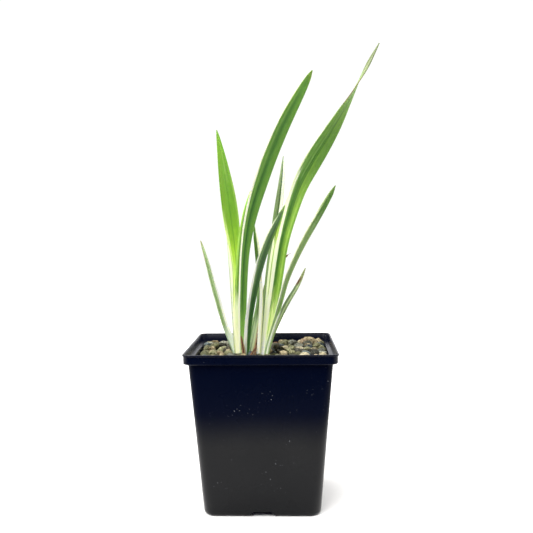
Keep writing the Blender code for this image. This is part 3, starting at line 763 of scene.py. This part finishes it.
leaf_skin(
    blade(
        "right_fan_young_leaf", "bright_green_leaf", (-0.6, 2.5), (4.5, 2.9, 118.6), (5.1, 6.4, 154.9),
        (18.4, 11.5, 192.1), ((0, 3.2), (0.3, 3.8), (0.6, 4.1), (0.75, 4.2), (0.9, 2.7)), ((0, 0), (1, 10)),
        ((0, 0), (0.4, -0.5), (0.7, -0.8), (0.85, -0.5), (1, 0)),
    ),
    "f2fad4",
    (
        ("bed677", 0.3, 0.46, 0.38, 0.665, 0.04, 0.04),
        ("c2dd66", 0.1, 0.9, 0.655, 0.8, 0.08, 0.02),
        ("86a13e", 0.12, 0.24, 0.66, 0.8, 0.04, 0.03),
        ("84a82c", 0.66, 0.84, 0.67, 0.86, 0.04, 0.03),
        ("a5cb5a", 0.3, 0.6, 0.74, 0.86, 0.08, 0.04),
        ("dbdbbb", -0.3, 1.3, 0.92, 1.2, 0.1, 0.04),
    ),
)
leaf_skin(
    blade(
        "right_fan_rear_leaf", "grey_green_leaf", (-1.9, 4.0), (0.3, 4.8, 131.7), (10.6, 10.0, 173.2),
        (13.9, 18.0, 216.0), ((0, 2.8), (0.4, 3.2), (0.6, 4.5), (0.7, 5.4), (0.8, 4.9), (0.9, 3.3), (0.96, 2.0)),
        ((0, 0), (1, 14)), ((0, 0), (0.3, 0), (0.5, -0.2), (0.64, 0.3), (0.9, 0.35), (1, 0.1)),
    ),
    "8d9e73",
    (
        ("88a664", -0.3, 0.3, 0.1, 0.7, 0.1, 0.1),
        ("95ae76", 0.12, 0.22, 0.1, 0.95, 0.05, 0.1),
        ("4c6c36", 0.4, 0.6, 0.42, 0.97, 0.05, 0.08),
        ("f8f9ee", (0.6, 0.58), 1.3, 0.0, 1.05, 0.04, 0.08),
        ("cfd4b5", 0.93, 1.3, 0.4, 1.05, 0.03, 0.08),
        ("e4e9d0", -0.3, 1.3, -0.3, 0.08, 0.1, 0.05),
    ),
)
leaf_skin(
    blade(
        "right_fan_outer_leaf", "grey_green_leaf", (1.4, -0.9), (12.2, -2.0, 128.4), (18.1, -8.1, 151.2),
        (44.6, -18.0, 194.1), ((0, 2.0), (0.2, 2.5), (0.35, 3.2), (0.5, 3.8), (0.8, 4.8), (0.9, 4.3), (0.96, 3.2)),
        ((0, 0), (0.4, 25), (1, 35)),
        (
            (0, -1.3), (0.12, -1.5), (0.2, -0.8), (0.27, -0.35), (0.36, -0.45), (0.47, -0.9), (0.55, -0.6),
            (0.64, -0.2), (0.71, 0.15), (0.8, 0.7), (0.88, 0.8), (0.95, 0.7), (1, 0.4),
        ),
    ),
    "93b161",
    (
        ("4b7f0e", 0.2, 1.3, 0.72, 1.1, 0.12, 0.12),
        ("84a95d", 0.5, 0.8, 0.2, 0.8, 0.1, 0.1),
        ("9eb583", -0.3, 0.42, -0.1, 0.5, 0.08, 0.08),
        ("bfd087", -0.3, 0.2, 0.46, 0.85, 0.06, 0.08),
        ("f6f9dd", -0.3, 0.12, 0.3, 0.82, 0.04, 0.06),
        ("779a3d", -0.3, 1.3, 0.965, 1.2, 0.1, 0.02),
    ),
)
leaf_skin(
    blade(
        "right_fan_short_leaf", "grey_green_leaf", (2.9, -2.3), (7.9, -3.4, 104.5), (17.7, -7.2, 124.1),
        (26.8, -12.0, 144.5), ((0, 1.8), (0.3, 2.4), (0.5, 3.5), (0.7, 3.6), (0.85, 2.8), (0.94, 1.8)),
        ((0, 0), (0.5, 30), (1, 35)),
        ((0, -1.9), (0.3, -2.3), (0.45, -2.1), (0.6, -1.6), (0.7, -0.9), (0.78, -0.2), (0.88, 0.3), (1, 0.1)),
    ),
    "abc781",
    (
        ("86a06d", -0.3, 0.25, 0.1, 0.9, 0.1, 0.1),
        ("daf3ae", 0.4, 0.7, 0.3, 0.9, 0.1, 0.1),
        ("edf5dd", -0.3, (0.7, -0.3), -0.3, 0.5, 0.06, 0.08),
        ("95a061", -0.3, 1.3, 0.9, 1.2, 0.1, 0.05),
        ("795c34", -0.3, 0.42, 0.78, 0.88, 0.1, 0.025),
        ("948446", 0.3, 0.7, 0.8, 0.9, 0.1, 0.03),
    ),
)
leaf_skin(
    blade(
        "right_fan_cream_leaf", "cream_leaf", (-3.0, -0.6), (-1.7, -0.7, 100.7), (0.2, -1.6, 120.5),
        (-0.6, -3.0, 140.6), ((0, 2.3), (0.6, 2.4), (0.85, 1.8)), ((0, 0), (1, 20)),
        ((0, -0.3), (0.4, -0.2), (0.8, 0.1), (1, 0)),
    ),
    "fcfde5",
    (
        ("dce4a8", 0.74, 1.3, -0.3, 0.8, 0.06, 0.1),
        ("e7d9b6", -0.3, 1.3, 0.92, 1.2, 0.1, 0.05),
    ),
    veins=0.12,
)
leaf_skin(
    blade(
        "right_fan_browned_leaf", "dry_leaf", (-2.5, 5.4), (-0.9, 5.8, 98.0), (-0.3, 7.0, 115.2),
        (1.1, 9.0, 132.7), ((0, 1.8), (0.7, 1.6), (0.9, 1.3)), ((0, 0), (1, 10)),
    ),
    "85784b",
    (
        ("e6ddc9", -0.3, 1.3, -0.3, 0.72, 0.1, 0.08),
        ("b3986f", 0.5, 0.8, 0.4, 0.9, 0.1, 0.1),
        ("586824", -0.3, 0.4, 0.74, 1.2, 0.1, 0.06),
    ),
    roughness=0.7,
)

# The torn curl: a shred of the tallest leaf's own skin, torn at its right edge and dried brown. It
# is a tiny stiff curl that ends in a pale thread.
torn_from, torn_to = 150 * mm, 151.5 * mm
edge_places = [vert.co for vert in tall_blade.data.vertices if torn_from < vert.co.z < torn_to]
torn_at = max(edge_places, key=lambda place: place.x) / mm
leaf_skin(
    blade(
        "torn_curl", "dry_leaf", torn_at + Vector((-0.5, 0, -0.9)), torn_at + Vector((0.3, -0.1, 0.2)),
        torn_at + Vector((1.3, -0.2, 1.2)), torn_at + Vector((2.9, 0.1, 1.5)),
        ((0, 1.0), (0.35, 0.95), (0.6, 0.35), (0.8, 0.3)), ((0, 0), (1, 60)), thickness=0.22, edge=0.5, ripple=0.4,
    ),
    "7a3c26",
    (("b4a496", -0.3, 1.3, 0.55, 1.3, 0.1, 0.1),),
    roughness=0.8,
)

# The dry sheaths and shreds: the papery brown remains of old leaf bases, torn off short in front of
# the crowns and between them.
for name, foot, rise, bend, tip, outline, turn in (
    (
        "dry_sheath_front", (-10.9, -2.3), (-11.1, -2.5, 88.5), (-12.4, -2.6, 94.0), (-13.4, -2.4, 101.6),
        ((0, 2.4), (0.6, 2.0), (0.9, 1.3)), ((0, 0), (1, 8)),
    ),
    (
        "dry_sheath_rear", (-7.0, 4.2), (-6.0, 4.5, 89.0), (-4.6, 5.2, 93.0), (-2.6, 6.2, 100.5),
        ((0, 2.2), (0.5, 2.4), (0.85, 1.6)), ((0, 0), (1, 20)),
    ),
    (
        "dry_shred_left", (-8.4, -4.4, 86.0), (-7.6, -4.6, 88.5), (-6.4, -4.2, 91.0), (-4.6, -3.2, 94.6),
        ((0, 1.6), (0.5, 1.9), (0.85, 1.0)), ((0, 0), (1, 30)),
    ),
    (
        "dry_shred_right", (-5.6, -3.6, 85.5), (-5.2, -3.9, 88.0), (-4.4, -3.2, 91.5), (-4.0, -1.8, 96.0),
        ((0, 1.4), (0.5, 1.1), (0.85, 0.7)), ((0, 10), (1, -20)),
    ),
):
    leaf_skin(
        blade(name, "dry_leaf", foot, rise, bend, tip, outline, turn, thickness=0.6, edge=0.3, ripple=0.9),
        "80563c",
        (
            ("b08464", 0.1, 0.3, -0.3, 1.3, 0.08, 0.1),
            ("4a2c1a", 0.4, 0.66, -0.3, 1.3, 0.06, 0.1),
            ("b89878", 0.75, 1.3, -0.3, 0.7, 0.1, 0.1),
        ),
        roughness=0.85, veins=0.45, glow=0.1,
    )

# The grit: loose rounded stones of 3 to 7 mm that cover the mix and hold the crowns dry. They are tan,
# olive, cream and blue-grey, and they lie a little higher at the back.
stone_shades = {
    "tan": ("8c7c58", "cabb94"),
    "olive": ("56583a", "9a9a70"),
    "cream": ("a89e7c", "ded4b2"),
    "grey": ("5c6056", "a8aa98"),
    "blue": ("3e4b50", "6c7a7a"),
    "dark": ("2c2c20", "525240"),
    "rust": ("7c5236", "a47e58"),
    "pink": ("bca080", "d4bd9c"),
}
seen_stones = (
    (13.0, 36.0, 4.4, "tan"), (19.0, 37.2, 3.2, "olive"), (24.6, 36.4, 5.2, "cream"), (31.4, 35.2, 6.0, "pink"),
    (20.2, 26.6, 6.8, "grey"), (6.6, 36.4, 3.8, "rust"), (13.2, 20.4, 6.6, "blue"), (36.0, 25.0, 6.0, "olive"),
    (20.5, 8.6, 5.8, "olive"), (27.8, 9.0, 5.2, "dark"), (29.2, 21.6, 4.4, "tan"), (12.6, 2.6, 5.2, "tan"),
    (6.7, 12.4, 4.6, "blue"), (37.0, 34.6, 4.4, "olive"), (33.7, 2.6, 5.2, "dark"), (38.0, 13.4, 4.6, "olive"),
    (-36.4, 35.4, 4.6, "tan"), (-36.8, 18.6, 5.4, "olive"), (-33.2, 28.2, 4.6, "blue"), (-29.2, 35.6, 5.8, "grey"),
    (-30.4, 10.4, 5.8, "olive"), (-25.6, 19.0, 5.0, "grey"), (-19.7, -6.4, 5.6, "grey"), (-26.6, -2.0, 5.2, "tan"),
    (-37.6, 5.4, 4.8, "olive"), (-22.4, 29.4, 5.0, "olive"), (-24.6, 9.4, 4.4, "cream"),
)
stone_draw = random.Random(29)
mould_count, top_stones, settling_rounds = 14, 175, 240
stone_moulds = []
for mould_number in range(mould_count):
    start("ico_sphere", subdivisions=2, radius=1)
    for cut in range(stone_draw.randint(5, 8)):
        facing = Vector([stone_draw.gauss(0, 1) for _ in range(3)]).normalized()
        bpy.ops.mesh.select_all(action="SELECT")
        bpy.ops.mesh.bisect(
            plane_co=facing * stone_draw.uniform(0.52, 0.82), plane_no=facing, use_fill=True, clear_outer=True
        )
    bpy.ops.mesh.select_all(action="SELECT")
    bpy.ops.mesh.vertices_smooth(factor=0.28)
    bpy.ops.mesh.remove_doubles(threshold=0.09)
    bpy.ops.mesh.quads_convert_to_tris()
    bpy.ops.mesh.normals_make_consistent(inside=False)
    stone_moulds.append(done(f"stone_mould_{mould_number}"))
    bpy.ops.object.shade_smooth_by_angle(angle=math.radians(42))

# Where each leaf passes through the grit, as a box round its blade: the stones keep clear of it.
leaf_feet = []
for piece in [thing for thing in bpy.data.objects if thing.type == "MESH" and "broadest" in thing]:
    ring = np.array([vert.co[:2] for vert in piece.data.vertices if 86 * mm < vert.co.z < 93 * mm])
    if len(ring):
        leaf_feet.append((ring.min(axis=0), ring.max(axis=0)))

inner_edge = 40.2 * mm
bed = [[x * mm, y * mm, size / 2 * mm, kind] for x, y, size, kind in seen_stones]
fixed = len(bed)
while len(bed) < top_stones:
    bed.append([
        stone_draw.uniform(-inner_edge, inner_edge), stone_draw.uniform(-inner_edge, inner_edge),
        stone_draw.uniform(2.3, 3.7) * mm,
        stone_draw.choice(("tan", "olive", "olive", "olive", "cream", "grey", "grey", "blue", "dark", "dark", "tan")),
    ])
places = np.array([stone[:2] for stone in bed])
radii = np.array([stone[2] for stone in bed])
freedom = np.where(np.arange(len(bed)) < fixed, 0.12, 1.0)
for settling in range(settling_rounds):
    apart = places[:, None] - places[None]
    distance = np.linalg.norm(apart, axis=2) + np.eye(len(bed))
    wanted = (radii[:, None] + radii[None]) * 0.93
    overlap = np.clip(wanted - distance, 0, None) * (1 - np.eye(len(bed)))
    places += (apart / distance[..., None] * overlap[..., None]).sum(axis=1) * 0.35 * freedom[:, None]
    for low, high in leaf_feet:
        nearest = np.clip(places, low, high)
        off = places - nearest
        gap = np.linalg.norm(off, axis=1) + 1e-9
        push = np.clip(radii * 0.92 + 0.25 * mm - gap, 0, None)
        places += off / gap[:, None] * push[:, None] * 0.6
    reach = inner_edge - radii * 0.9
    places = np.clip(places, -reach[:, None], reach[:, None])


def bed_level(x, y):
    """How high the middle of a top stone lies."""
    return (89.6 + 2.6 * min(1, max(0, (y / mm + 8) / 44)) + 0.4 * x / mm / 40) * mm


lower_level, lower_pitch, lower_rows = 85.6 * mm, 6.1, 13
middle_row = lower_rows // 2
layers = []
for (x, y), radius, stone in zip(places, radii, bed):
    layers.append((x, y, bed_level(x, y) + stone_draw.uniform(-2.0, 0.5) * mm, radius, stone[3]))
for row in range(lower_rows):
    for column in range(lower_rows):
        x = ((column - middle_row) * lower_pitch + stone_draw.uniform(-1, 1)) * mm
        y = ((row - middle_row) * lower_pitch + stone_draw.uniform(-1, 1)) * mm
        radius = stone_draw.uniform(2.6, 3.3) * mm
        clear = all(
            np.linalg.norm(np.array((x, y)) - np.clip((x, y), low, high)) > radius * 0.95 for low, high in leaf_feet
        )
        if clear and max(abs(x), abs(y)) < inner_edge - radius * 0.9:
            layers.append((x, y, lower_level, radius, stone_draw.choice(("olive", "dark", "grey", "blue"))))

gathered = bmesh.new()
stain = gathered.loops.layers.float_color.new("stone_colour")
for x, y, z, radius, kind in layers:
    mould = stone_moulds[stone_draw.randrange(len(stone_moulds))]
    flat = stone_draw.uniform(0.68, 0.9)
    turned = Euler([stone_draw.uniform(-0.5, 0.5), stone_draw.uniform(-0.5, 0.5), stone_draw.uniform(0, 6.28)])
    length = radius * stone_draw.uniform(1.05, 1.3)
    place = (
        Matrix.Translation((x, y, z)) @ turned.to_matrix().to_4x4()
        @ Matrix.Diagonal((length, radius * stone_draw.uniform(0.9, 1.05), radius * flat, 1))
    )
    low, high = (np.array(colour(code)) for code in stone_shades[kind])
    tint = low + (high - low) * stone_draw.random()
    before = len(gathered.faces)
    gathered.from_mesh(mould.data)
    gathered.faces.ensure_lookup_table()
    fresh = gathered.faces[before:]
    bmesh.ops.transform(gathered, matrix=place, verts=list({vert for face in fresh for vert in face.verts}))
    for face in fresh:
        for corner in face.loops:
            corner[stain] = tint
for mould in stone_moulds:
    bpy.data.objects.remove(mould)
grit_mesh = bpy.data.meshes.new("loose_grit")
gathered.to_mesh(grit_mesh)
gathered.free()
loose_grit = bpy.data.objects.new("loose_grit", grit_mesh)
bpy.context.scene.collection.objects.link(loose_grit)

stone_grit = material_of("stone_grit")
spot = node(stone_grit, "TexCoord").outputs["Object"]
tint = node(stone_grit, "Attribute", {"attribute_name": "stone_colour"}).outputs["Color"]
mottle = node(stone_grit, "TexNoise", Vector=spot, Scale=700, Detail=5, Roughness=0.65)
flecks = node(stone_grit, "TexVoronoi", Vector=spot, Scale=1500)
layering = node(stone_grit, "TexNoise", Vector=spot, Scale=260, Detail=3, Distortion=1.5)
toned = blend(stone_grit, ease(stone_grit, mottle.outputs[0], 0.35, 0.68), colour("8c8778"), (1, 1, 1, 1))
toned = blend(stone_grit, 1.0, tint, toned, "MULTIPLY")
toned = blend(stone_grit, ease(stone_grit, layering.outputs[0], 0.58, 0.72), toned, colour("5c5238"))
toned = blend(stone_grit, ease(stone_grit, flecks.outputs["Distance"], 0.16, 0.05), toned, colour("e2dcc8"))
uneven = node(stone_grit, "Bump", Strength=0.55, Distance=0.0006, Height=mottle.outputs[0])
surface(stone_grit, Base_Color=toned, Roughness=0.8, Normal=uneven.outputs[0], Specular_IOR_Level=0.35)
grit_mesh.materials.append(stone_grit)
stands_for(loose_grit, "stone_grit", "grit")
